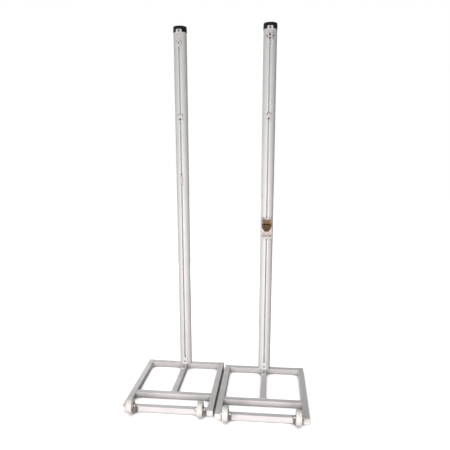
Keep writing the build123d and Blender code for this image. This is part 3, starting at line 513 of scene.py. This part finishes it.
def arch(middle):
    """An upside-down U over a tube, as (across, up) points with rounded upper corners."""
    low = middle - TUBE / 2
    high = middle + TUBE / 2
    outline = [(low, BEAD_FOOT)]
    for centre, start in ((low + TUBE_CORNER, math.pi), (high - TUBE_CORNER, math.pi / 2)):
        for k in range(5):
            turn = start - k * math.pi / 8
            outline.append((centre + TUBE_CORNER * math.cos(turn),
                            TUBE - TUBE_CORNER + TUBE_CORNER * math.sin(turn)))
    outline.append((high, BEAD_FOOT))
    return outline


def make_welds(side):
    """The beads where the cross bars meet the rails, and the strut meets two of the bars."""
    low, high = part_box(f"{side}_base_frame")
    centre_x = (low.x + high.x) / 2
    rear_y = high.y
    front_y = low.y
    mid_y = rear_y + CAP_FLANGE - MID_BAR_Y
    bm = bmesh.new()
    for bar_y in (rear_y - TUBE / 2, mid_y, front_y + TUBE / 2):
        for x in (low.x + TUBE + BEAD_PROUD, high.x - TUBE - BEAD_PROUD):
            add_bead(bm, [Vector((x, y, z)) for y, z in arch(bar_y)], Vector((1, 0, 0)))
    for y in (rear_y - TUBE, mid_y + TUBE / 2):
        add_bead(bm, [Vector((x, y, z)) for x, z in arch(centre_x)], Vector((0, 1, 0)))
    finish_piece(f"{side}_weld_beads", bm, f"{side}_post", "frame_paint")


def make_bolt_threads(side):
    """The screw threads on the ends of the two axle bolts that stand out of their nuts."""
    low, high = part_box(f"{side}_axle_nuts")
    middle = (low + high) / 2
    nut_face = (high.x - low.x) / 2 - AXLE_NUT
    steps = round(THREAD_END / THREAD_PITCH * THREAD_STEPS) - THREAD_STEPS // 2
    bm = bmesh.new()
    for way in (-1, 1):
        rings = []
        for i in range(steps):
            turn = 2 * math.pi * i / THREAD_STEPS
            along = nut_face - THREAD_PITCH * (THREAD_START + i / THREAD_STEPS)
            crest = THREAD_RISE * min(1.0, i / THREAD_FADE_STEPS, (steps - 1 - i) / THREAD_FADE_STEPS)
            ring = []
            for shift, rise in ((-THREAD_FLANK, -THREAD_SINK), (0.0, crest),
                                (THREAD_FLANK, -THREAD_SINK)):
                reach = AXLE_RADIUS + rise
                ring.append(bm.verts.new((middle.x + way * (along + shift * THREAD_PITCH),
                                          middle.y + reach * math.cos(turn),
                                          middle.z + reach * math.sin(turn))))
            rings.append(ring)
        skin(bm, rings)
    finish_piece(f"{side}_bolt_threads", bm, f"{side}_post", "zinc_steel")


def make_wheel_ribs(side, place):
    """Moulded ribs between the hub and the rim on both faces of a wheel."""
    low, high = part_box(f"{side}_{place}_wheel")
    middle = (low + high) / 2
    bm = bmesh.new()
    for way in (-1, 1):
        for i in range(RIB_COUNT):
            turn = 2 * math.pi * (i + 0.5) / RIB_COUNT
            outward = Vector((0, math.cos(turn), math.sin(turn)))
            beside = Vector((0, -math.sin(turn), math.cos(turn)))
            rows = []
            for depth, half in RIB_SECTION:
                row = []
                for reach, lean in ((RIB_INNER, -1), (RIB_OUTER, -1), (RIB_OUTER, 1), (RIB_INNER, 1)):
                    point = middle + reach * outward + lean * half * beside
                    row.append(bm.verts.new(point + Vector((way * depth, 0, 0))))
                rows.append(row)
            skin(bm, rows)
    wheel = f"{side}_{place}_wheel"
    finish_piece(f"{wheel}_ribs", bm, wheel, "wheel_nylon", smooth=False)


# --- Stage --------------------------------------------------------------------------------------

def make_floor():
    """A plain pale floor. The camera sees it near white, with painted shadow near the pieces. The
    pieces are lit by a duller, pinker floor, and mirror a brighter one, a painted reflection."""
    half = FLOOR_SIZE / 2
    mesh = bpy.data.meshes.new("floor")
    corners = [(-half, -half, 0), (half, -half, 0), (half, half, 0), (-half, half, 0)]
    mesh.from_pydata(corners, [], [(0, 1, 2, 3)])
    floor = bpy.data.objects.new("floor", mesh)
    bpy.context.scene.collection.objects.link(floor)
    material, tree, shader = start_material("floor_paint")
    path = add(tree, "LightPath")
    # Glossy rays see a brighter, pinker floor than diffuse rays: a painted reflection on the pieces.
    colour = blend_colours(tree, path.outputs["Is Glossy Ray"],
                           (0.32, 0.285, 0.29), (0.90, 0.83, 0.83))
    # Near the pieces the camera sees a darker floor and less glow: painted shadow.
    open_sky = add(tree, "AmbientOcclusion", {"Distance": 0.06}, samples=8).outputs["AO"]
    seen = blend_colours(tree, span(tree, open_sky, 0.25, 0.85),
                         (0.22, 0.21, 0.21), (0.85, 0.85, 0.85))
    colour = blend_colours(tree, path.outputs["Is Camera Ray"], colour, seen)
    glow = times(tree, path.outputs["Is Camera Ray"], span(tree, open_sky, 0.15, 0.80, 0.0, 0.85))
    wire(tree, shader, Base_Color=colour, Roughness=0.9, Specular_IOR_Level=0.0,
         Emission_Color=(1.0, 1.0, 1.0), Emission_Strength=glow)
    floor.data.materials.append(material)


def make_world():
    """Soft studio surroundings: white to the camera, and mostly light from overhead to the pieces."""
    world = bpy.data.worlds.new("studio")
    world.use_nodes = True
    tree = world.node_tree
    tree.nodes.clear()
    direction = add(tree, "SeparateXYZ", {0: add(tree, "TexCoord").outputs["Generated"]})
    height = span(tree, direction.outputs["Z"], 0.0, 1.0, smooth=False)
    overhead = maths(tree, "POWER", height, 3.0)
    left = span(tree, direction.outputs["X"], 0.7, -0.8)
    path = add(tree, "LightPath")
    low = blend_colours(tree, left, (0.05, 0.05, 0.05), (0.28, 0.28, 0.275))
    shine = blend_colours(tree, left, (0.28, 0.29, 0.285), (0.66, 0.675, 0.67))
    low = blend_colours(tree, path.outputs["Is Glossy Ray"], low, shine)
    colour = blend_colours(tree, overhead, low, (0.62, 0.62, 0.61))
    lit = add(tree, "Background", {"Color": colour, "Strength": 1.0})
    seen = add(tree, "Background", {"Color": (1, 1, 1, 1), "Strength": 1.0})
    mixed = add(tree, "MixShader", {0: path.outputs["Is Camera Ray"], 1: lit.outputs[0],
                                    2: seen.outputs[0]})
    add(tree, "OutputWorld", {0: mixed.outputs[0]})
    bpy.context.scene.world = world


def add_softbox(name, spot, aim, width, height, watts, colour=(1, 1, 1)):
    """A rectangular light that faces a point."""
    light = bpy.data.lights.new(name, "AREA")
    light.shape = "RECTANGLE"
    light.size = width
    light.size_y = height
    light.energy = watts
    light.color = colour
    lamp = bpy.data.objects.new(name, light)
    lamp.location = spot
    lamp.rotation_euler = (Vector(aim) - Vector(spot)).to_track_quat("-Z", "Y").to_euler()
    bpy.context.scene.collection.objects.link(lamp)


def make_lights():
    """A broad light in front, low and a little to the left, and a weak one behind the posts."""
    add_softbox("front_light", spot=(-0.14, -3.2, 0.68), aim=(0.05, 0.2, 0.80), width=2.7, height=1.3,
                watts=124, colour=(1.0, 0.962, 0.972))
    add_softbox("back_light", spot=(-1.6, 3.6, 1.0), aim=(0, 0, 1.0), width=2.2, height=1.6, watts=45)


def make_camera():
    """The camera, turned from straight ahead by its yaw, pitch and roll."""
    data = bpy.data.cameras.new("camera")
    data.lens = CAMERA_LENS_MM
    data.sensor_width = SENSOR_WIDTH_MM
    data.shift_x, data.shift_y = CAMERA_SHIFT
    data.clip_start = 0.05
    camera = bpy.data.objects.new("camera", data)
    turn = (Matrix.Rotation(-CAMERA_YAW, 4, "Z") @ Matrix.Rotation(math.pi / 2 - CAMERA_PITCH, 4, "X")
            @ Matrix.Rotation(CAMERA_ROLL, 4, "Z"))
    camera.matrix_world = Matrix.Translation(CAMERA_PLACE) @ turn
    bpy.context.scene.collection.objects.link(camera)
    bpy.context.scene.camera = camera


# --- Assembly -----------------------------------------------------------------------------------

materials = {maker.__name__: maker() for maker in MAKERS}
dress_nodes()
for post in SIDES:
    make_welds(post)
    make_bolt_threads(post)
    for wheel_place in ("inner", "outer"):
        make_wheel_ribs(post, wheel_place)
make_floor()
make_world()
make_lights()
make_camera()
bpy.context.scene.view_settings.view_transform = "Standard"
